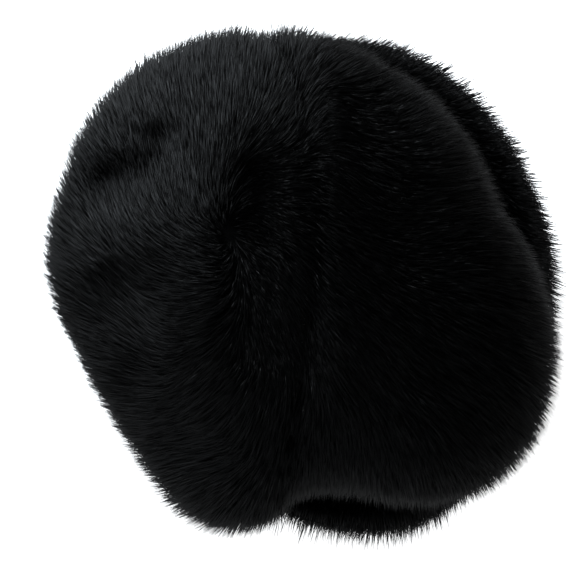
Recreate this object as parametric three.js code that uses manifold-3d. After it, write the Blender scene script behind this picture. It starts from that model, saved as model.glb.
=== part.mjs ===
// A black fur toque, crown up, standing on the folded edge of its cuff. Millimetres, +Z up, X across the hat and Y
// along the crown's seam. The hat is four pelts: two crown panels sewn along the seam, and two lengths of cuff, sewn
// to the hem and turned up round the crown. Each pelt is one solid with its pile, whose outside is worked as short
// locks that lie outwards and down the hat, leaning clockwise.
import * as THREE from "three";
import { mergeVertices } from "three/addons/utils/BufferGeometryUtils.js";
import Module from "manifold-3d";

// The head opening, inside the crown's wall
const OPENING_WIDTH = 176;
const OPENING_LENGTH = 190;

// The crown, whose wall is the skin and its matted pile together
const HAT_HEIGHT = 118;
const CROWN_WALL = 7;
const CROWN_HEM_LIFT = 2;
const CROWN_PUFF = 34;
const CROWN_TUCK = 14;
const DENT_DEPTH = 6;
const PILE_OVER_DENTS = 0.7;

// The cuff round the foot of the crown
const CUFF_HEIGHT = 64;
const CUFF_THICKNESS = 32;

// Sewn edges, where the pile parts
const SEW_GAP = 0.3;
const GROOVE_DEPTH = 4;
const GROOVE_REACH = 7;
const GROOVE_ASIDE = 2.5;

// The locks of the pile; lean and swirl are shares of the spacing of the locks
const LOCKS_AROUND = 44;
const CROWN_LOCK_ROWS = 24;
const LOCK_HEIGHT = 2.2;
const LOCK_LEAN = 0.4;
const LOCK_SWIRL = 0.5;
const LOCK_FULL_RADIUS = 60;

// Rows up the plain inside of the crown
const INSIDE_ROWS = 12;

// How far the crown's edge and the cuff stand out from the head wall, as shares of CROWN_PUFF and CUFF_THICKNESS.
// The rows go round the hat in even steps, from +X towards +Y.
const OUTLINE = [
  { crown: 0.42, cuff: 0.86 },
  { crown: 0, cuff: 0.8 },
  { crown: 0.06, cuff: 0.79 },
  { crown: 0.17, cuff: 0.78 },
  { crown: 0.45, cuff: 0.63 },
  { crown: 0.74, cuff: 0.62 },
  { crown: 0.98, cuff: 0.71 },
  { crown: 0.96, cuff: 0.78 },
  { crown: 0.91, cuff: 0.78 },
  { crown: 0.59, cuff: 0.6 },
  { crown: 0.57, cuff: 0.56 },
  { crown: 0.8, cuff: 0.7 },
  { crown: 0.28, cuff: 0.65 },
  { crown: 0.6, cuff: 1.06 },
  { crown: 0.99, cuff: 0.97 },
  { crown: 0.86, cuff: 0.84 },
];

// Where the crown's edge is tucked in behind the cuff, and its reach before and after, in turns from +X
const TUCK = { turn: 0.752, before: 0.015, after: 0.065 };

// Crown from its hem to its middle. Flare goes from the head wall (0) to the crown's edge (1), reach from the edge (1)
// to the middle (0), and rise from the hem (-1) past the cuff's top (0) to the top of the hat (1).
const CROWN_PROFILE = [
  { flare: 0, reach: 1, rise: -1 },
  { flare: 0, reach: 1, rise: -0.03 },
  { flare: 0.62, reach: 1, rise: 0.15 },
  { flare: 1, reach: 1, rise: 0.39 },
  { flare: 1, reach: 0.95, rise: 0.65 },
  { flare: 1, reach: 0.8, rise: 0.85 },
  { flare: 1, reach: 0.55, rise: 0.95 },
  { flare: 1, reach: 0.27, rise: 0.99 },
  { flare: 1, reach: 0, rise: 1 },
];

// The pile starts at the second row of the profile, above the wall that the cuff hides
const PILE_START = 1 / (CROWN_PROFILE.length - 1);

// Cuff section, from the foot of its inside round to where it leaves the crown's wall. Out is a share of the cuff's
// thickness there, height a share of CUFF_HEIGHT, and pile how much of the locks' height the corner carries.
const CUFF_SECTION = [
  { out: 0, height: 0.1, pile: 0 },
  { out: 0.14, height: 0, pile: 0 },
  { out: 0.52, height: 0, pile: 0 },
  { out: 0.8, height: 0.1, pile: 0.4 },
  { out: 0.94, height: 0.28, pile: 1 },
  { out: 1, height: 0.48, pile: 1 },
  { out: 1, height: 0.68, pile: 1 },
  { out: 0.95, height: 0.86, pile: 1 },
  { out: 0.82, height: 0.97, pile: 1 },
  { out: 0.64, height: 1, pile: 1 },
  { out: 0.47, height: 0.95, pile: 0.7 },
  { out: 0.32, height: 0.8, pile: 0 },
  { out: 0.14, height: 0.6, pile: 0 },
  { out: 0, height: 0.45, pile: 0 },
];

// The seam in plan, with both values as shares of half the opening's length
const SEAM = [
  { along: 2, aside: -0.72 },
  { along: 1.24, aside: -0.26 },
  { along: 1.02, aside: -0.14 },
  { along: 0.7, aside: -0.1 },
  { along: 0.35, aside: -0.03 },
  { along: 0, aside: -0.02 },
  { along: -0.6, aside: -0.08 },
  { along: -1.25, aside: -0.15 },
  { along: -2, aside: -0.25 },
];

// Soft hollows in the crown, placed in shares of the head wall's half sizes, with depth a share of DENT_DEPTH
const DENTS = [
  { across: -1.03, along: 0.4, reach: 0.17, depth: 0.8 },
  { across: -0.8, along: 0.58, reach: 0.13, depth: 0.6 },
  { across: -0.98, along: -0.08, reach: 0.24, depth: 1 },
  { across: -0.34, along: 0.3, reach: 0.24, depth: 1 },
  { across: -0.84, along: -0.5, reach: 0.15, depth: 0.7 },
  { across: -0.6, along: -0.76, reach: 0.15, depth: 0.6 },
  { across: 0.22, along: 0.8, reach: 0.2, depth: 0.6 },
  { across: 0.3, along: -0.2, reach: 0.62, depth: 0.8 },
];

const LEFT = -1;
const RIGHT = 1;
const COLUMNS = 2 * LOCKS_AROUND;
const headWallHalf = { across: OPENING_WIDTH / 2 + CROWN_WALL, along: OPENING_LENGTH / 2 + CROWN_WALL };

const outline = new THREE.CatmullRomCurve3(
  OUTLINE.map((row) => new THREE.Vector3(row.crown, row.cuff, 0)),
  true,
  "catmullrom",
);
const crownProfile = new THREE.CatmullRomCurve3(
  CROWN_PROFILE.map((row) => new THREE.Vector3(row.flare, row.reach, row.rise)),
  false,
  "catmullrom",
);
const seamLine = new THREE.CatmullRomCurve3(
  SEAM.map((row) => new THREE.Vector3(row.aside, row.along, 0).multiplyScalar(OPENING_LENGTH / 2)),
).getPoints(48);

function polarPoint(turn, radius, height) {
  const angle = 2 * Math.PI * turn;
  return new THREE.Vector3(radius * Math.cos(angle), radius * Math.sin(angle), height);
}

// Radius of the head wall's outside, an oval
function headWallRadius(turn) {
  const angle = 2 * Math.PI * turn;
  const { across, along } = headWallHalf;
  return (across * along) / Math.hypot(along * Math.cos(angle), across * Math.sin(angle));
}

function crownEdgeRadius(turn) {
  const off = turn - TUCK.turn;
  const tuck = CROWN_TUCK * Math.exp(-((off / (off < 0 ? TUCK.before : TUCK.after)) ** 2));
  return headWallRadius(turn) + Math.max(CROWN_PUFF * outline.getPoint(turn).x - tuck, 0);
}

// Distance of a place from the seam, straight across the hat
function seamOffset({ x, y }) {
  const next = seamLine.findIndex((point) => point.y <= y);
  const [before, after] = [seamLine[next - 1], seamLine[next]];
  return x - THREE.MathUtils.mapLinear(y, before.y, after.y, before.x, after.x);
}

// The groove lies on the right panel's side of the seam, because the left panel's pile falls over it
function grooveDepth(place) {
  return GROOVE_DEPTH * Math.exp(-(((seamOffset(place) - GROOVE_ASIDE) / GROOVE_REACH) ** 2));
}

// From none (0) at the cuff's top to full (1) half way from there to the top of the hat
function shareAboveCuff({ z }) {
  return THREE.MathUtils.smoothstep(z, CUFF_HEIGHT, (CUFF_HEIGHT + HAT_HEIGHT) / 2);
}

function dentDepth(place) {
  const depth = DENTS.reduce((sum, dent) => {
    const across = (place.x / headWallHalf.across - dent.across) / dent.reach;
    const along = (place.y / headWallHalf.along - dent.along) / dent.reach;
    return sum + dent.depth * Math.exp(-(across ** 2) - along ** 2);
  }, 0);
  return DENT_DEPTH * depth * shareAboveCuff(place);
}

// The crown's plump outside, before its dents and locks; run goes from the hem (0) to the middle (1)
function plumpCrownPoint(turn, run) {
  const { x: flare, y: reach, z: rise } = crownProfile.getPoint(THREE.MathUtils.clamp(run, 0, 1));
  const wall = headWallRadius(turn);
  const radius = THREE.MathUtils.lerp(wall, crownEdgeRadius(turn), Math.max(flare, 0)) * reach;
  const height = THREE.MathUtils.lerp(CUFF_HEIGHT, rise < 0 ? CROWN_HEM_LIFT : HAT_HEIGHT, Math.abs(rise));
  return polarPoint(turn, radius, height);
}

// Outward normal of the plump crown, from small differences along it and round it
function crownNormal(turn, run) {
  const step = 1e-3;
  if (run > 1 - step) return new THREE.Vector3(0, 0, 1);
  const up = plumpCrownPoint(turn, run + step).sub(plumpCrownPoint(turn, run - step));
  const round = plumpCrownPoint(turn + step, run).sub(plumpCrownPoint(turn - step, run));
  return round.cross(up).normalize();
}

// A point of the dented crown, moved out by `raise`
function crownPoint(turn, run, raise) {
  const place = plumpCrownPoint(turn, run);
  return place.addScaledVector(crownNormal(turn, run), raise - dentDepth(place));
}

// A point of the flesh side, which lies plain: the dents are in the pile, so the wall is thicker where it faces up
function fleshPoint(turn, run) {
  const place = plumpCrownPoint(turn, run);
  const normal = crownNormal(turn, run);
  const upward = shareAboveCuff(place) * normal.z ** 2;
  return place.addScaledVector(normal, -CROWN_WALL - PILE_OVER_DENTS * DENT_DEPTH * upward);
}

// A ring of points round the hat, given by pointAt(column), counterclockwise seen from above
function ring(pointAt) {
  return Array.from({ length: COLUMNS }, (_, column) => pointAt(column));
}

// The tips of the locks are every second corner of a furry face, as on a chessboard; the others are their roots
function isTip(column, row) {
  return (column + row) % 2 === 0;
}

function crownPileRing(row) {
  const rowStep = (1 - PILE_START) / CROWN_LOCK_ROWS;
  return ring((column) => {
    const lock = row > 0 && isTip(column, row) ? 1 : 0;
    const turn = (column - LOCK_SWIRL * lock) / COLUMNS;
    const run = PILE_START + (row - LOCK_LEAN * lock) * rowStep;
    const root = crownPoint(turn, run, 0);
    const fullness = Math.min(Math.hypot(root.x, root.y) / LOCK_FULL_RADIUS, 1);
    return crownPoint(turn, run, LOCK_HEIGHT * lock * fullness - grooveDepth(root));
  });
}

// The crown as rings from the middle of its inside, down to the hem and up the outside to the middle of the top
function crownRings() {
  const inside = Array.from({ length: INSIDE_ROWS }, (_, row) => {
    const run = 1 - (row + 1) / INSIDE_ROWS;
    return ring((column) => fleshPoint(column / COLUMNS, run));
  });
  const hem = ring((column) => crownPoint(column / COLUMNS, 0, 0));
  const outside = Array.from({ length: CROWN_LOCK_ROWS }, (_, row) => crownPileRing(row));
  const middle = crownPoint(0, 1, 0);
  return [[fleshPoint(0, 1)], ...inside, hem, ...outside, [middle.setZ(middle.z - grooveDepth(middle))]];
}

function cuffCorner(turn, row) {
  const { out, height } = CUFF_SECTION[(row + CUFF_SECTION.length) % CUFF_SECTION.length];
  const thickness = CUFF_THICKNESS * outline.getPoint(turn).y - SEW_GAP;
  return polarPoint(turn, headWallRadius(turn) + SEW_GAP + thickness * out, CUFF_HEIGHT * height);
}

// The cuff as rings, one for each corner of its section
function cuffRings() {
  return CUFF_SECTION.map(({ pile }, row) =>
    ring((column) => {
      const lock = pile > 0 && isTip(column, row) ? pile : 0;
      const turn = (column - LOCK_SWIRL * lock) / COLUMNS;
      const along = cuffCorner(turn, row + 1).sub(cuffCorner(turn, row - 1));
      const outward = polarPoint(turn, along.z, 0).setZ(-along.dot(polarPoint(turn, 1, 0))).normalize();
      const root = cuffCorner(turn, row).lerp(cuffCorner(turn, row - 1), LOCK_LEAN * lock);
      return root.addScaledVector(outward, LOCK_HEIGHT * lock - grooveDepth(root) * pile);
    }),
  );
}

// A closed surface over rings, each joined to the next. Where the first and last are single points they close it;
// otherwise the last ring is joined to the first.
function skin(rings) {
  const starts = rings.map((_, row) => rings.slice(0, row).flat().length);
  const corner = (row, column) => starts[row] + (column % rings[row].length);
  const joints = rings[0].length === 1 ? rings.length - 1 : rings.length;
  const triangles = [];
  for (let row = 0; row < joints; row++) {
    const above = (row + 1) % rings.length;
    for (let column = 0; column < COLUMNS; column++) {
      const [a, b] = [corner(row, column), corner(row, column + 1)];
      const [c, d] = [corner(above, column), corner(above, column + 1)];
      if (a === b) triangles.push([a, d, c]);
      else if (c === d) triangles.push([a, b, d]);
      else if (isTip(column, row)) triangles.push([a, b, c], [b, d, c]);
      else triangles.push([a, b, d], [a, d, c]);
    }
  }
  return new THREE.BufferGeometry().setFromPoints(rings.flat()).setIndex(triangles.flat());
}

const solids = await Module();
solids.setup();

function toSolid(geometry) {
  const mesh = new solids.Mesh({
    numProp: 3,
    vertProperties: geometry.getAttribute("position").array,
    triVerts: Uint32Array.from(geometry.index.array),
  });
  return new solids.Manifold(mesh);
}

function toGeometry(solid) {
  const { vertProperties, triVerts } = solid.getMesh();
  const geometry = new THREE.BufferGeometry()
    .setAttribute("position", new THREE.BufferAttribute(vertProperties, 3))
    .setIndex(new THREE.BufferAttribute(triVerts, 1));
  geometry.computeVertexNormals();
  return geometry;
}

// All the room on one side of the seam, half a sewing gap clear of it
function seamSide(side) {
  const far = side * 2 * OPENING_LENGTH;
  const shape = new THREE.Shape([
    new THREE.Vector2(far, seamLine[0].y),
    ...seamLine.map(({ x, y }) => new THREE.Vector2(x + (side * SEW_GAP) / 2, y)),
    new THREE.Vector2(far, seamLine.at(-1).y),
  ]);
  const room = new THREE.ExtrudeGeometry(shape, { depth: 3 * HAT_HEIGHT, bevelEnabled: false });
  room.translate(0, 0, -HAT_HEIGHT).deleteAttribute("normal").deleteAttribute("uv");
  return toSolid(mergeVertices(room));
}

function pelt(name, whole, side) {
  const fur = new THREE.MeshStandardMaterial({ color: 0x17181a, roughness: 0.6, metalness: 0 });
  const mesh = new THREE.Mesh(toGeometry(whole.intersect(seamSide(side))), fur);
  mesh.name = name;
  return mesh;
}

const crown = toSolid(skin(crownRings()));
const cuff = toSolid(skin(cuffRings()));
const hat = new THREE.Group();
hat.add(
  pelt("crown_left", crown, LEFT),
  pelt("crown_right", crown, RIGHT),
  pelt("cuff_left", cuff, LEFT),
  pelt("cuff_right", cuff, RIGHT),
);

// The origin is at the middle of the hat's foot
const box = new THREE.Box3().setFromObject(hat, true);
hat.position.copy(box.getCenter(new THREE.Vector3()).setZ(box.min.z)).negate();

export default hat;
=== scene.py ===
# A black fur toque of four pelts: a crown of two panels, and a turned-up cuff in two lengths.
# Metres, +Z up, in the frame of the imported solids. X runs across the hat and Y along the crown's seam.
import math

import bmesh
import bpy
import numpy as np
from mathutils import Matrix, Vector
from mathutils.bvhtree import BVHTree


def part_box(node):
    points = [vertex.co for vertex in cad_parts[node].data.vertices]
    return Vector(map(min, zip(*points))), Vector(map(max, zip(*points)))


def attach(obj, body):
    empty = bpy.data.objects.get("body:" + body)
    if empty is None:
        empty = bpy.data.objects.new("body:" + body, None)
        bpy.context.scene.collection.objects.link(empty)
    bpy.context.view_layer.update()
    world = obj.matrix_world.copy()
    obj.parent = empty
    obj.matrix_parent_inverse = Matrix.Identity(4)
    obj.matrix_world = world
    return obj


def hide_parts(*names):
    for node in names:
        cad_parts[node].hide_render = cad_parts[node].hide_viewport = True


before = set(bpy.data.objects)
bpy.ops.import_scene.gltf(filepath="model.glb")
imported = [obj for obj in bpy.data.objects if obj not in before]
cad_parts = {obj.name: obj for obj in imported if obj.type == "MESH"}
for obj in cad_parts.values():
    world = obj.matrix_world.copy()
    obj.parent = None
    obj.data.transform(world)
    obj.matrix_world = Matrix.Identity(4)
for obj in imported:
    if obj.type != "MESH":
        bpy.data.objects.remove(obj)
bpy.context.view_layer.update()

MM = 0.001


# The pelts' two faces

# A mink pelt is skin with the hair left on. Its hair side is a dense matt underfur, dyed black through, and
# its flesh side is a fine suede that takes the dye more brown. Both are drawn with their own relief.
def colour(code):
    """An sRGB hex colour as a linear one."""
    shares = [int(code[i : i + 2], 16) / 255 for i in (1, 3, 5)]
    return [s / 12.92 if s <= 0.04045 else ((s + 0.055) / 1.055) ** 2.4 for s in shares] + [1.0]


def add_node(tree, kind, inputs=None, **settings):
    """Adds a node with its settings; an input is a value or the socket that it is linked from."""
    node = tree.nodes.new(kind)
    for name, value in settings.items():
        setattr(node, name, value)
    for key, value in (inputs or {}).items():
        if isinstance(value, bpy.types.NodeSocket):
            tree.links.new(value, node.inputs[key])
        else:
            node.inputs[key].default_value = value
    return node


def new_material(name):
    """A material without any nodes yet, and its node tree."""
    material = bpy.data.materials.new(name)
    material.use_nodes = True
    tree = material.node_tree
    tree.nodes.clear()
    return material, tree


def two_tones(tree, share, dark, light, start=0.0, stop=1.0):
    """The colour of each share: dark up to the start, light from the stop on, and a blend between."""
    ramp = add_node(tree, "ShaderNodeValToRGB", {"Fac": share})
    for element, position, code in zip(ramp.color_ramp.elements, (start, stop), (dark, light)):
        element.position = position
        element.color = colour(code)
    return ramp.outputs["Color"]


def add_surface(tree, inputs):
    """Gives the material a Principled surface with these inputs."""
    shader = add_node(tree, "ShaderNodeBsdfPrincipled", inputs)
    add_node(tree, "ShaderNodeOutputMaterial", {"Surface": shader.outputs["BSDF"]})


def underfur_material():
    """Combed underfur: matted strands about 1.5 mm apart run from the middle of the crown outwards."""
    strand_gap = 1.5 * MM
    strand_height = 1.2 * MM
    strand_scale = 0.5 / strand_gap
    material, tree = new_material("dyed_mink_underfur")
    comb = add_node(tree, "ShaderNodeAttribute", attribute_name="comb").outputs["Vector"]
    strands_and_groove_shade = add_node(
        tree,
        "ShaderNodeTexNoise",
        {"Vector": comb, "Scale": strand_scale, "Detail": 3.0, "Roughness": 0.6},
    ).outputs["Fac"]
    relief = add_node(
        tree, "ShaderNodeBump", {"Strength": 0.8, "Distance": strand_height, "Height": strands_and_groove_shade}
    ).outputs["Normal"]
    add_surface(
        tree,
        {
            # Painted shade: the colour follows the strand relief, #020202 down between the strands and
            # #070708 on their crests
            "Base Color": two_tones(tree, strands_and_groove_shade, "#020202", "#070708", start=0.35, stop=0.7),
            "Roughness": 0.75,
            "IOR": 1.5,
            "Specular IOR Level": 0.1,
            "Normal": relief,
        },
    )
    return material


def suede_material():
    """The flesh side, buffed: a fine grain, in patches where it was brushed one way or another."""
    grain_size = 0.6 * MM
    grain_height = 0.3 * MM
    patch_size = 14 * MM
    material, tree = new_material("dyed_mink_suede")
    place = add_node(tree, "ShaderNodeTexCoord").outputs["Object"]
    grain = add_node(
        tree, "ShaderNodeTexNoise", {"Vector": place, "Scale": 1 / grain_size, "Detail": 2.0}
    ).outputs["Fac"]
    patches = add_node(
        tree, "ShaderNodeTexNoise", {"Vector": place, "Scale": 1 / patch_size, "Detail": 3.0}
    ).outputs["Fac"]
    relief = add_node(
        tree, "ShaderNodeBump", {"Strength": 0.5, "Distance": grain_height, "Height": grain}
    ).outputs["Normal"]
    add_surface(
        tree,
        {
            "Base Color": two_tones(tree, patches, "#1f1a17", "#2d2622", start=0.35, stop=0.7),
            "Roughness": 0.9,
            "Specular IOR Level": 0.25,
            "Sheen Weight": 0.3,
            "Sheen Roughness": 0.5,
            "Normal": relief,
        },
    )
    return material


underfur = underfur_material()
suede = suede_material()


# The four pelts

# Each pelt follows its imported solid. The solid's stiff locks are melted into a soft, slightly lumpy ground,
# on which the hair of the next section stands.
PELTS = ("crown_left", "crown_right", "cuff_left", "cuff_right")
PELT_VOXEL = 2.5 * MM
PELT_SMOOTHINGS = 10
SMOOTHING_SHARE = 0.5
WELD_REACH = 1e-6

# The sewn edges stay where they are, a hair's breadth from their neighbours. A face counts as sewn if it is
# near its neighbour and its normal points there, by the cosine between them.
SEWN_REACH = 1.6 * MM
SEWN_HOLD = 5 * MM
SEWN_GAP = 0.3 * MM
SEWN_GAP_SHARE = 0.55
SEWN_COSINE = 0.3
SMALLEST_LENGTH = 1e-6

# Bare skin: the sewn faces, the foot, the flesh side, and the crown where the cuff covers it. The crown's fur
# starts at that share of the cuff's height.
BARE_COSINE = 0.5
FOOT_HEIGHT = 1.5 * MM
CROWN_FUR_STARTS = 0.7
CROWN_FUR_EASE = 0.2
FUR_EDGE_STEEPNESS = 4

# The underfur's strands wind outwards in a slow spiral. They are drawn as if on a tube of this radius in
# metres, shortened along it by this share, which draws each strand out.
COMB_TWIST = math.radians(32)
STRAND_ROUND = 0.1
STRAND_ALONG = 0.6
STRAND_START = 5 * MM
STRAND_UNIT = 100 * MM

# How the hair was combed, seen from above: at a place in mm from the middle of the opening, the way that it
# lies, in degrees counted from +X towards +Y. Between these places the ways blend into each other, by their
# distance in mm. Where they part, the hair lies a little less flat.
COMB_BLEND = 9
PARTED_NAP = 0.9
COMBED = (
    {"across": -54, "along": 108, "towards": 93},
    {"across": -35, "along": 113, "towards": 86},
    {"across": -18, "along": 103, "towards": 84},
    {"across": -79, "along": 93, "towards": 103},
    {"across": -98, "along": 74, "towards": 112},
    {"across": -54, "along": 78, "towards": 97},
    {"across": -30, "along": 84, "towards": 88},
    {"across": -11, "along": 78, "towards": 66},
    {"across": -19, "along": 68, "towards": 58},
    {"across": -49, "along": 59, "towards": 90},
    {"across": -74, "along": 49, "towards": 97},
    {"across": -59, "along": 31, "towards": 98},
    {"across": -108, "along": 44, "towards": 122},
    {"across": -116, "along": 27, "towards": 132},
    {"across": -89, "along": 25, "towards": 108},
    {"across": -110, "along": 0, "towards": 142},
    {"across": -89, "along": -5, "towards": 124},
    {"across": -113, "along": -27, "towards": 157},
    {"across": -98, "along": -49, "towards": 165},
    {"across": -72, "along": -27, "towards": 135},
    {"across": -86, "along": -73, "towards": 178},
    {"across": -70, "along": -93, "towards": 196},
    {"across": -42, "along": -81, "towards": 190},
    {"across": -54, "along": -108, "towards": 215},
    {"across": -25, "along": -115, "towards": 240},
    {"across": -5, "along": -118, "towards": 262},
    {"across": -22, "along": 50, "towards": 10},
    {"across": -25, "along": 26, "towards": -30},
    {"across": -24, "along": 5, "towards": -50},
    {"across": 10, "along": 108, "towards": 38},
    {"across": 44, "along": 92, "towards": 32},
    {"across": 78, "along": 60, "towards": 14},
    {"across": 98, "along": 25, "towards": -8},
    {"across": 105, "along": -20, "towards": -22},
    {"across": 85, "along": -65, "towards": -48},
    {"across": 44, "along": -100, "towards": -75},
    {"across": 14, "along": -112, "towards": -94},
    {"across": -22, "along": -24, "towards": -65},
    {"across": 50, "along": 20, "towards": 10},
    {"across": 12, "along": 52, "towards": -35},
    {"across": 60, "along": -40, "towards": -35},
    {"across": 7, "along": 80, "towards": -30},
    {"across": 22, "along": 0, "towards": -35},
    {"across": 20, "along": -40, "towards": -55},
    {"across": 10, "along": -80, "towards": -85},
    {"across": -18, "along": -62, "towards": -110},
    {"across": -42, "along": -42, "towards": 220},
    {"across": -62, "along": 8, "towards": 142},
    {"across": -47, "along": 7, "towards": 165},
    {"across": -60, "along": -14, "towards": 165},
    {"across": -46, "along": -14, "towards": 200},
)

# The hollows between the crown's puffs, and one more puff: place and reach in mm as above, and depth in mm.
# They fade in over the crown's roof, at these heights of the cuff.
ROOF_STARTS = 1.2
ROOF_EASE = 0.2
HOLLOWS = (
    {"across": -27, "along": 46, "reach": 13, "depth": 5},
    {"across": -27, "along": 27, "reach": 15, "depth": 5},
    {"across": -26, "along": 8, "reach": 16, "depth": 5},
    {"across": -24, "along": -12, "reach": 17, "depth": 4},
    {"across": -20, "along": -34, "reach": 18, "depth": 3},
    {"across": -76, "along": 62, "reach": 9, "depth": 3},
    {"across": -78, "along": 48, "reach": 9, "depth": 3},
    {"across": -98, "along": 46, "reach": 13, "depth": 5},
    {"across": -97, "along": 12, "reach": 14, "depth": -4},
    {"across": -66, "along": -2, "reach": 12, "depth": 1.5},
)

hem_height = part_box("crown_left")[0].z
hem = [
    vertex.co
    for name in ("crown_left", "crown_right")
    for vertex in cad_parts[name].data.vertices
    if vertex.co.z < hem_height + 0.1 * MM
]
hollow_centre = Vector(
    [(min(place[axis] for place in hem) + max(place[axis] for place in hem)) / 2 for axis in (0, 1)] + [0]
)
cuff_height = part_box("cuff_left")[1].z


def packed_tree(name):
    """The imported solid, for finding how near it lies."""
    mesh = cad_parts[name].data
    return BVHTree.FromPolygons([v.co for v in mesh.vertices], [tuple(p.vertices) for p in mesh.polygons])


packed_trees = {name: packed_tree(name) for name in PELTS}


def way_to_neighbour(name, places):
    """For each point: the step to the nearest point of another pelt's solid."""
    steps = np.full_like(places, 1.0)
    for other, tree in packed_trees.items():
        if other != name:
            found = np.array([tuple(tree.find_nearest(place)[0]) for place in map(Vector, places)]) - places
            nearer = np.linalg.norm(found, axis=1) < np.linalg.norm(steps, axis=1)
            steps[nearer] = found[nearer]
    return steps


def point_values(mesh, key):
    """The places or the normals of a mesh's points, as rows."""
    values = np.empty(len(mesh.vertices) * 3, np.float32)
    mesh.vertices.foreach_get(key, values)
    return values.reshape(-1, 3).astype(float)


def soft_ground(name):
    """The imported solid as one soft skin, lightly smoothed except at its sewn edges."""
    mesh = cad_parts[name].data.copy()
    weld = bmesh.new()
    weld.from_mesh(mesh)
    bmesh.ops.remove_doubles(weld, verts=weld.verts, dist=WELD_REACH)
    weld.to_mesh(mesh)
    weld.free()
    rough = bpy.data.objects.new("rough", mesh)
    bpy.context.scene.collection.objects.link(rough)
    melt = rough.modifiers.new("melt", "REMESH")
    melt.mode = "VOXEL"
    melt.voxel_size = PELT_VOXEL
    melt.use_smooth_shade = True
    ground = bpy.data.meshes.new_from_object(rough.evaluated_get(bpy.context.evaluated_depsgraph_get()))
    bpy.data.objects.remove(rough)
    ground.name = f"{name}_pelt"

    places = point_values(ground, "co")
    near = np.linalg.norm(way_to_neighbour(name, places), axis=1)
    ease = SMOOTHING_SHARE * np.clip((near - SEWN_REACH) / SEWN_HOLD, 0, 1)[:, None]
    ends = np.empty(len(ground.edges) * 2, np.int32)
    ground.edges.foreach_get("vertices", ends)
    one, other = ends.reshape(-1, 2).T
    links = np.bincount(ends, minlength=len(places))[:, None]
    for _ in range(PELT_SMOOTHINGS):
        total = np.zeros_like(places)
        np.add.at(total, one, places[other])
        np.add.at(total, other, places[one])
        places += ease * (total / links - places)

    # The faces that are sewn to a neighbour come up to half the gap from it, with a little to spare
    ground.vertices.foreach_set("co", places.ravel())
    ground.update()
    step = way_to_neighbour(name, places)
    distance = np.linalg.norm(step, axis=1, keepdims=True)
    length = np.maximum(distance, SMALLEST_LENGTH)
    facing = np.einsum("ij,ij->i", step, point_values(ground, "normal"))[:, None] / length
    sewn = (facing > SEWN_COSINE) & (distance < 2 * SEWN_REACH)
    places += np.where(sewn, step * (1 - SEWN_GAP_SHARE * SEWN_GAP / length), 0)

    # The crown's skin sinks between its puffs, both faces of it alike
    roof = np.clip((places[:, 2] / cuff_height - ROOF_STARTS) / ROOF_EASE, 0, 1)
    for row in HOLLOWS:
        off = (places[:, :2] - np.array(hollow_centre)[:2]) / MM - (row["across"], row["along"])
        fade = np.exp(-((np.linalg.norm(off, axis=1) / row["reach"]) ** 2))
        places[:, 2] -= roof * row["depth"] * MM * fade
    ground.vertices.foreach_set("co", places.ravel())
    ground.update()
    return ground


def lie_of_the_hair(name, places, normals):
    """For each point: the way that its hair lies, how fully it is furred, and its place in the combing.

    Where the crown is level the hair lies as combed. On its sides and on the cuff it lies at the same angle
    to the way downhill as the combed way has to the way outwards.
    """
    from_middle = places[:, :2] - np.array(hollow_centre)[:2]
    radius = np.linalg.norm(from_middle, axis=1)
    angle = np.arctan2(from_middle[:, 1], from_middle[:, 0])
    way = np.zeros_like(from_middle)
    total = np.zeros_like(radius)
    for row in COMBED:
        off = np.linalg.norm(from_middle / MM - (row["across"], row["along"]), axis=1)
        weight = (off**2 + COMB_BLEND**2) ** -2.0
        towards = math.radians(row["towards"])
        way += weight[:, None] * (math.cos(towards), math.sin(towards))
        total += weight
    turned = (angle - np.arctan2(way[:, 1], way[:, 0]))[:, None]
    agreed = np.linalg.norm(way, axis=1) / total

    round_middle = np.stack([-np.sin(angle), np.cos(angle), np.zeros_like(angle)], 1)
    downhill = np.cross(round_middle, normals)
    downhill /= np.maximum(np.linalg.norm(downhill, axis=1, keepdims=True), SMALLEST_LENGTH)
    aside = np.cross(normals, downhill)
    nap = downhill * np.cos(turned) - aside * np.sin(turned)
    nap *= np.clip(2 * agreed, PARTED_NAP, 1)[:, None]

    step = way_to_neighbour(name, places)
    distance = np.linalg.norm(step, axis=1)
    facing = np.einsum("ij,ij->i", step, normals) / np.maximum(distance, SMALLEST_LENGTH)
    core = np.array(hollow_centre) + np.stack(
        [np.zeros_like(angle), np.zeros_like(angle), np.clip(places[:, 2], 0, cuff_height)], 1
    )
    outward = np.einsum("ij,ij->i", places - core, normals) / np.linalg.norm(places - core, axis=1)
    if name.startswith("crown"):
        above_cuff = (places[:, 2] - CROWN_FUR_STARTS * cuff_height) / (CROWN_FUR_EASE * cuff_height)
        furred = np.clip(outward * FUR_EDGE_STEEPNESS, 0, 1) * np.clip(above_cuff, 0, 1)
    else:
        furred = np.ones_like(angle)
    furred[(distance < 2 * SEWN_REACH) & (facing > BARE_COSINE)] = 0
    furred[places[:, 2] < FOOT_HEIGHT] = 0

    run = radius + np.maximum(2 * cuff_height - places[:, 2], 0)
    spiral = angle + math.tan(COMB_TWIST) * np.log(np.maximum(run, STRAND_START) / STRAND_UNIT)
    comb = np.stack([STRAND_ROUND * np.cos(spiral), STRAND_ROUND * np.sin(spiral), STRAND_ALONG * run], 1)
    return nap, furred, comb


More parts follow.
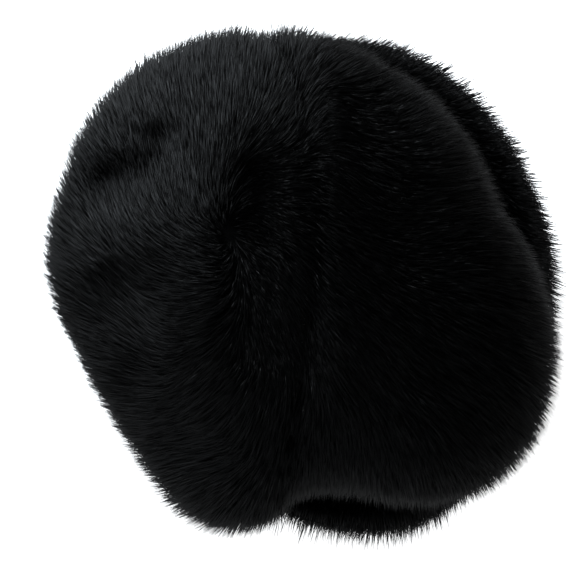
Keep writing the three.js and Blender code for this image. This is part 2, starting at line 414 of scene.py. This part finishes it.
def make_pelt(name):
    """One pelt with its two faces and what its hair needs: the nap, the combing and the furred share."""
    ground = soft_ground(name)
    nap, furred, comb = lie_of_the_hair(name, point_values(ground, "co"), point_values(ground, "normal"))
    for attribute, kind, key, values in (
        ("nap", "FLOAT_VECTOR", "vector", nap),
        ("comb", "FLOAT_VECTOR", "vector", comb),
        ("furred", "FLOAT", "value", furred),
    ):
        layer = ground.attributes.new(attribute, kind, "POINT")
        layer.data.foreach_set(key, values.astype(np.float32).ravel())
    ground.materials.clear()
    ground.materials.append(underfur)
    ground.materials.append(suede)
    for face in ground.polygons:
        face.material_index = 0 if sum(furred[corner] for corner in face.vertices) > 0 else 1
    pelt = bpy.data.objects.new(f"{name}_pelt", ground)
    bpy.context.scene.collection.objects.link(pelt)
    return pelt


pelts = {name: make_pelt(name) for name in PELTS}


# The hair

# Mink has two coats. The pile is short, fine and dense, and only its tips show. The guard hairs over it are
# longer, glossy and spear-shaped, thickest near the middle. The pile is drawn as wisps up to 0.36 mm thick,
# and the guard hairs up to 0.25 mm, because finer ones would be lost in the render.
KERATIN_IOR = 1.55
ROUGHNESS_SPREAD = 0.12


def hair_material(name, dark, light, roughness, specular):
    """Dyed keratin: black, with some hairs a little paler and duller than others."""
    material, tree = new_material(name)
    shade = add_node(tree, "ShaderNodeAttribute", attribute_name="shade").outputs["Fac"]
    gloss = add_node(
        tree,
        "ShaderNodeMapRange",
        {"Value": shade, "To Min": roughness, "To Max": roughness + ROUGHNESS_SPREAD},
    ).outputs["Result"]
    add_surface(
        tree,
        {
            "Base Color": two_tones(tree, shade, dark, light),
            "Roughness": gloss,
            "IOR": KERATIN_IOR,
            "Specular IOR Level": specular,
        },
    )
    return material


def hair_shape(name, slimness, widest, bend):
    """One hair of length 1 along +Z: a slim closed sliver of four faces, bent where it is widest."""
    root, tip = (0, 0, 0), (0, 0, 1)
    sides = [(bend, slimness, widest), (bend, -slimness, widest)]
    mesh = bpy.data.meshes.new(name)
    mesh.from_pydata([root, tip, *sides], [], [(0, 1, 2), (1, 0, 3), (0, 2, 3), (1, 3, 2)])
    mesh.attributes.new("along", "FLOAT", "POINT").data.foreach_set("value", [0, 1, widest, widest])
    hair = bpy.data.objects.new(name, mesh)
    bpy.context.scene.collection.objects.link(hair)
    return hair


# What makes neighbouring hairs differ. Locks lean together, wisps drift together at their tips, and each hair
# has its own share of the full length.
LOCK_SIZE = 9 * MM
WISP_SIZE = 3.5 * MM
SHORTEST_SHARE = 0.72
LONGEST_SHARE = 1.12


def smooth_drift(tree, place, size, detail):
    """A vector that changes smoothly over that size, up to about half a unit each way."""
    noise = add_node(tree, "ShaderNodeTexNoise", {"Vector": place, "Scale": 1 / size, "Detail": detail})
    return add_node(
        tree, "ShaderNodeVectorMath", {0: noise.outputs["Color"], 1: (0.5, 0.5, 0.5)}, operation="SUBTRACT"
    ).outputs[0]


def random_number(tree, low, high, seed):
    """A number of each hair's own between the two."""
    return add_node(
        tree, "FunctionNodeRandomValue", {2: low, 3: high, "Seed": seed}, data_type="FLOAT"
    ).outputs[1]


def stored(tree, name, kind):
    """A value that the mesh carries under that name."""
    return add_node(tree, "GeometryNodeInputNamedAttribute", {"Name": name}, data_type=kind).outputs[0]


def scaled(tree, vector, scale):
    """The vector times a number."""
    return add_node(tree, "ShaderNodeVectorMath", {0: vector, "Scale": scale}, operation="SCALE").outputs[0]


def added(tree, first, second):
    """The sum of two vectors."""
    return add_node(tree, "ShaderNodeVectorMath", {0: first, 1: second}, operation="ADD").outputs[0]


def hair_tree():
    """Stands copies of one hair on a pelt's furred faces, laid along its nap and stirred a little."""
    tree = bpy.data.node_groups.new("lay_hair", "GeometryNodeTree")
    for name, kind in (
        ("Pelt", "Geometry"),
        ("Hair", "Object"),
        ("Hairs per square metre", "Float"),
        ("Length", "Float"),
        ("Lift", "Float"),
        ("Stray", "Float"),
        ("Root offset", "Float"),
        ("Stir", "Float"),
        ("Floor", "Float"),
        ("Seed", "Int"),
        ("Material", "Material"),
    ):
        tree.interface.new_socket(name=name, in_out="INPUT", socket_type=f"NodeSocket{kind}")
    tree.interface.new_socket(name="Coat", in_out="OUTPUT", socket_type="NodeSocketGeometry")
    given = add_node(tree, "NodeGroupInput").outputs

    furred = stored(tree, "furred", "FLOAT")
    nap = stored(tree, "nap", "FLOAT_VECTOR")
    density = add_node(
        tree, "ShaderNodeMath", {0: furred, 1: given["Hairs per square metre"]}, operation="MULTIPLY"
    ).outputs[0]
    roots = add_node(
        tree,
        "GeometryNodeDistributePointsOnFaces",
        {"Mesh": given["Pelt"], "Density": density, "Seed": given["Seed"]},
        distribute_method="RANDOM",
    ).outputs

    # Direction: the nap, lifted off the skin, plus a lean shared by neighbours and one of each hair's own
    laid = added(tree, nap, scaled(tree, roots["Normal"], given["Lift"]))
    place = add_node(tree, "GeometryNodeInputPosition").outputs[0]
    lock_lean = smooth_drift(tree, place, size=LOCK_SIZE, detail=2.0)
    own_lean = add_node(
        tree,
        "FunctionNodeRandomValue",
        {"Min": (-0.5, -0.5, -0.5), "Max": (0.5, 0.5, 0.5), "Seed": given["Seed"]},
        data_type="FLOAT_VECTOR",
    ).outputs[0]
    stray = scaled(tree, added(tree, lock_lean, own_lean), given["Stray"])
    upright = add_node(
        tree, "FunctionNodeAlignRotationToVector", {"Vector": added(tree, laid, stray)}, axis="Z"
    ).outputs[0]
    roll = random_number(tree, 0.0, math.tau, given["Seed"])
    rolled = add_node(tree, "FunctionNodeAxisAngleToRotation", {"Axis": (0, 0, 1), "Angle": roll}).outputs[0]
    turned = add_node(
        tree, "FunctionNodeRotateRotation", {"Rotation": upright, "Rotate By": rolled}, rotation_space="LOCAL"
    ).outputs[0]

    # Size and place: each hair has its own length, and its root is a little under the skin
    share = random_number(tree, SHORTEST_SHARE, LONGEST_SHARE, given["Seed"])
    length = add_node(tree, "ShaderNodeMath", {0: share, 1: given["Length"]}, operation="MULTIPLY").outputs[0]
    sunk = scaled(tree, roots["Normal"], given["Root offset"])
    rooted = add_node(
        tree, "GeometryNodeSetPosition", {"Geometry": roots["Points"], "Offset": sunk}
    ).outputs[0]
    hair = add_node(tree, "GeometryNodeObjectInfo", {"Object": given["Hair"]}).outputs["Geometry"]
    coat = add_node(
        tree,
        "GeometryNodeInstanceOnPoints",
        {"Points": rooted, "Instance": hair, "Rotation": turned, "Scale": length},
    ).outputs[0]
    shade = random_number(tree, 0.0, 1.0, given["Seed"])
    coat = add_node(
        tree,
        "GeometryNodeStoreNamedAttribute",
        {"Geometry": coat, "Name": "shade", "Value": shade},
        data_type="FLOAT",
        domain="INSTANCE",
    ).outputs[0]
    coat = add_node(tree, "GeometryNodeRealizeInstances", {"Geometry": coat}).outputs[0]

    # Stir: neighbouring tips drift together into wisps, and none goes under the surface that the hat is on
    along = stored(tree, "along", "FLOAT")
    reach = add_node(tree, "ShaderNodeMath", {0: along, 1: given["Stir"]}, operation="MULTIPLY").outputs[0]
    drift = scaled(tree, smooth_drift(tree, place, size=WISP_SIZE, detail=1.0), reach)
    coat = add_node(tree, "GeometryNodeSetPosition", {"Geometry": coat, "Offset": drift}).outputs[0]
    parts = add_node(tree, "ShaderNodeSeparateXYZ", {"Vector": place}).outputs
    height = add_node(
        tree, "ShaderNodeMath", {0: parts["Z"], 1: given["Floor"]}, operation="MAXIMUM"
    ).outputs[0]
    kept = add_node(tree, "ShaderNodeCombineXYZ", {"X": parts["X"], "Y": parts["Y"], "Z": height}).outputs[0]
    coat = add_node(tree, "GeometryNodeSetPosition", {"Geometry": coat, "Position": kept}).outputs[0]
    coat = add_node(tree, "GeometryNodeSetShadeSmooth", {"Geometry": coat}).outputs[0]
    coat = add_node(
        tree, "GeometryNodeSetMaterial", {"Geometry": coat, "Material": given["Material"]}
    ).outputs[0]
    add_node(tree, "NodeGroupOutput", {"Coat": coat})
    return tree


pile_hair = hair_material("dyed_mink_pile", "#040404", "#0a0a0b", 0.55, 0.2)
guard_hair = hair_material("dyed_mink_guard_hair", "#040404", "#0c0c0d", 0.56, 0.34)

COATS = {
    "pile": {
        "hair": hair_shape("pile_hair_shape", slimness=0.018, widest=0.5, bend=0.02),
        "material": pile_hair,
        "length": 10 * MM,
        "lift": 0.38,
        "stray": 0.22,
        "share": 0.5,
    },
    "guard": {
        "hair": hair_shape("guard_hair_shape", slimness=0.007, widest=0.55, bend=0.015),
        "material": guard_hair,
        "length": 18.2 * MM,
        "lift": 0.26,
        "stray": 0.17,
        "share": 0.5,
    },
}
HAIRS = {"crown_left": 72000, "crown_right": 72000, "cuff_left": 29000, "cuff_right": 35000}
ROOT_OFFSET = -1.0 * MM
TIP_STIR = 1.0 * MM
LOWEST_HAIR = 0.2 * MM
SEEDS_EACH_PELT = 10
lay_hair = hair_tree()


def furred_area(mesh):
    """Area of the pelt that carries hair, with its thin edges counted in part."""
    furred = [value.value for value in mesh.attributes["furred"].data]
    return sum(
        face.area * sum(furred[v] for v in face.vertices) / len(face.vertices) for face in mesh.polygons
    )


def grow_coat(pelt_name, coat_name, seed):
    """Grows one coat on one pelt and returns it as a plain mesh object."""
    pelt, coat = pelts[pelt_name], COATS[coat_name]
    grown = bpy.data.objects.new("grown", pelt.data)
    bpy.context.scene.collection.objects.link(grown)
    modifier = grown.modifiers.new("hair", "NODES")
    modifier.node_group = lay_hair
    settings = {
        "Hair": coat["hair"],
        "Hairs per square metre": HAIRS[pelt_name] * coat["share"] / furred_area(pelt.data),
        "Length": coat["length"],
        "Lift": coat["lift"],
        "Stray": coat["stray"],
        "Root offset": ROOT_OFFSET,
        "Stir": TIP_STIR,
        "Floor": LOWEST_HAIR,
        "Seed": seed,
        "Material": coat["material"],
    }
    sockets = {item.name: item.identifier for item in lay_hair.interface.items_tree}
    for name, value in settings.items():
        modifier[sockets[name]] = value
    mesh = bpy.data.meshes.new_from_object(grown.evaluated_get(bpy.context.evaluated_depsgraph_get()))
    bpy.data.objects.remove(grown)
    mesh.name = f"{pelt_name}_{coat_name}"
    piece = bpy.data.objects.new(mesh.name, mesh)
    bpy.context.scene.collection.objects.link(piece)
    return piece


for pelt_number, pelt_name in enumerate(PELTS):
    for coat_number, coat_name in enumerate(COATS):
        piece = grow_coat(pelt_name, coat_name, seed=SEEDS_EACH_PELT * pelt_number + coat_number)
        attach(piece, "root")
    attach(pelts[pelt_name], "root")
    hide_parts(pelt_name)
for coat in COATS.values():
    bpy.data.objects.remove(coat["hair"])


# The studio

# A white floor, a window-like soft light low behind the hat, and two weak fills from its left and its front.
# The camera looks almost straight down, with the front of the hat at the bottom of the picture.
FLOOR_SIZE = 12
LIGHT_COLOUR = (0.87, 0.94, 1.0)
LIGHT_DISTANCE = 1.6
LIGHTS = (
    {"name": "window", "azimuth": 109, "elevation": 22, "size": 0.9, "power": 59},
    {"name": "fill", "azimuth": 202, "elevation": 6, "size": 1.0, "power": 13},
    {"name": "front_fill", "azimuth": 262, "elevation": 8, "size": 1.2, "power": 8},
)
AIR_STRENGTH = 0.08
PICTURE_WIDTH = 292.5 * MM
PICTURE_MIDDLE = Vector((-10.5 * MM, -5 * MM, 70 * MM))
CAMERA_DISTANCE = 1.0
CAMERA_ELEVATION = math.radians(88)
SENSOR_WIDTH = 36
VIEW_GAMMA = 0.8


def studio_floor():
    """A white floor that glows evenly."""
    material, tree = new_material("studio_floor")
    add_surface(
        tree,
        {
            "Base Color": colour("#f4f4f4"),
            "Roughness": 0.9,
            "Emission Color": (1, 1, 1, 1),
            "Emission Strength": 1.0,
        },
    )
    bpy.ops.mesh.primitive_plane_add(size=FLOOR_SIZE)
    floor = bpy.context.object
    floor.name = "studio_floor"
    floor.data.materials.append(material)


def soft_light(name, azimuth, elevation, size, power, aim):
    """A square soft light seen from the hat at that azimuth, counted from +X towards +Y."""
    lamp = bpy.data.lights.new(name, "AREA")
    lamp.size = size
    lamp.energy = power
    lamp.color = LIGHT_COLOUR
    light = bpy.data.objects.new(name, lamp)
    across, up = math.radians(azimuth), math.radians(elevation)
    way = Vector((math.cos(up) * math.cos(across), math.cos(up) * math.sin(across), math.sin(up)))
    light.location = aim + way * LIGHT_DISTANCE
    light.rotation_euler = (-way).to_track_quat("-Z", "Y").to_euler()
    bpy.context.scene.collection.objects.link(light)


studio_floor()
aim = hollow_centre + PICTURE_MIDDLE
for row in LIGHTS:
    soft_light(**row, aim=aim)

world = bpy.data.worlds.new("studio_air")
world.use_nodes = True
air = world.node_tree.nodes["Background"].inputs
air["Color"].default_value = (1, 1, 1, 1)
air["Strength"].default_value = AIR_STRENGTH
bpy.context.scene.world = world
bpy.context.scene.view_settings.view_transform = "Standard"
bpy.context.scene.view_settings.gamma = VIEW_GAMMA

camera = bpy.data.objects.new("camera", bpy.data.cameras.new("camera"))
camera.data.sensor_width = SENSOR_WIDTH
camera.data.lens = SENSOR_WIDTH * CAMERA_DISTANCE / PICTURE_WIDTH
back = Vector((0, -math.cos(CAMERA_ELEVATION), math.sin(CAMERA_ELEVATION)))
camera.location = aim + back * CAMERA_DISTANCE
camera.rotation_euler = (-back).to_track_quat("-Z", "Y").to_euler()
bpy.context.scene.collection.objects.link(camera)
bpy.context.scene.camera = camera
